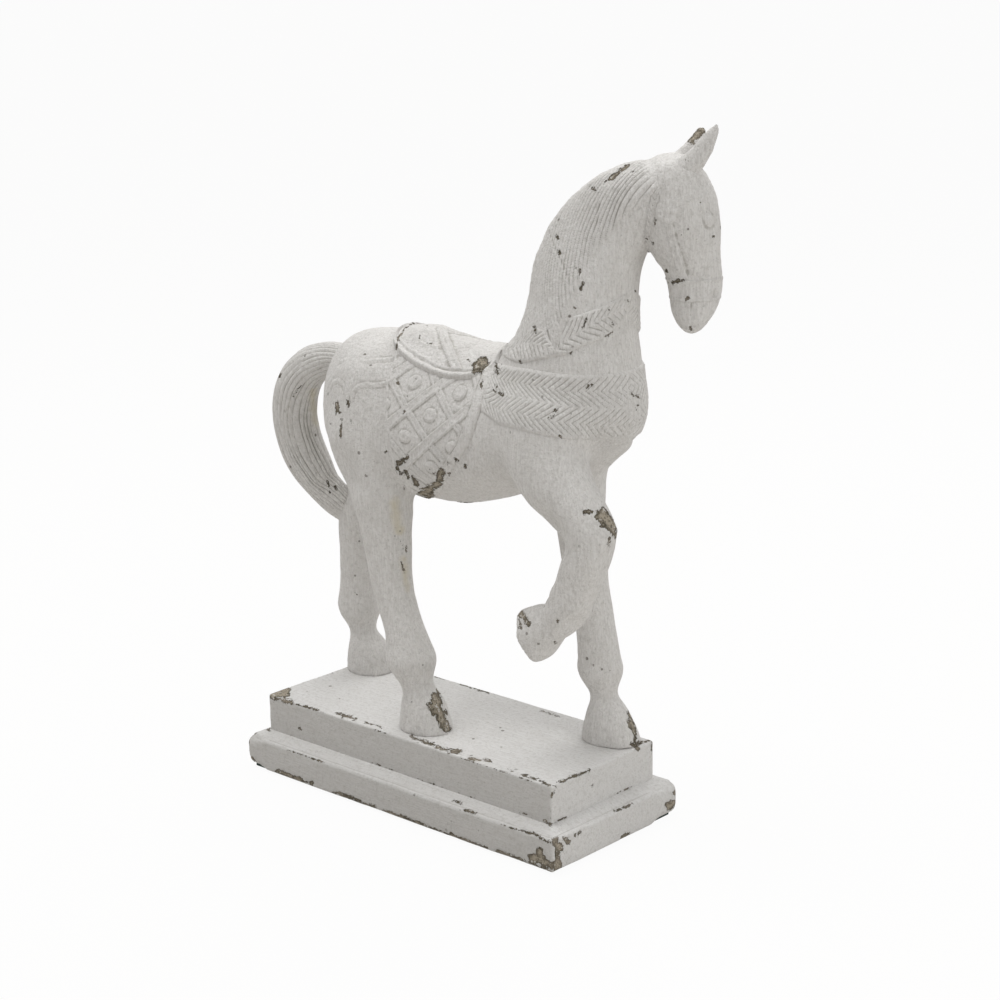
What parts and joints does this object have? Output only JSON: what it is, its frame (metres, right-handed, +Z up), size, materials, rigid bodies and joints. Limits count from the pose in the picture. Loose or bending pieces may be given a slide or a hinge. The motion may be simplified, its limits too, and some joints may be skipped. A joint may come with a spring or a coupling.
{
  "type": "horse statue",
  "caption": "Distressed white resin statue of a walking horse with raised foreleg, turned head and harness relief, on a stepped rectangular plinth with a felt underside.",
  "frame": {"origin": "middle of the felt underside", "axes": "+X the way the horse walks, +Y to the horse's left, +Z up"},
  "size_m": [0.3366, 0.118, 0.4202],
  "materials": {
    "painted_resin": "matt warm white paint, brushed and chipped, over grey-brown cast resin",
    "tack_resin": "matt warm white paint over carved relief, worn on the raised edges",
    "steel": "plain zinc-plated steel",
    "felt": "dark pressed felt"
  },
  "bodies": {
    "root": {"felt_sheet": "felt", "lower_plinth": "painted_resin", "upper_plinth": "painted_resin", "plinth_screws": "steel", "hoof_studs": "steel", "stud_washers": "steel", "stud_nuts": "steel", "left_hind_leg": "painted_resin", "right_hind_leg": "painted_resin", "left_foreleg": "painted_resin", "right_foreleg": "painted_resin", "leg_dowels": "steel", "torso": "painted_resin", "pour_plug": "painted_resin", "neck_and_head": "painted_resin", "neck_dowels": "steel", "left_ear": "painted_resin", "right_ear": "painted_resin", "ear_pins": "steel", "tail": "painted_resin", "tail_root_pin": "steel", "tail_tip_pin": "steel", "saddle_cloth": "tack_resin", "saddle": "tack_resin", "breast_collar": "tack_resin", "neck_collar": "tack_resin"}
  },
  "joints": []
}
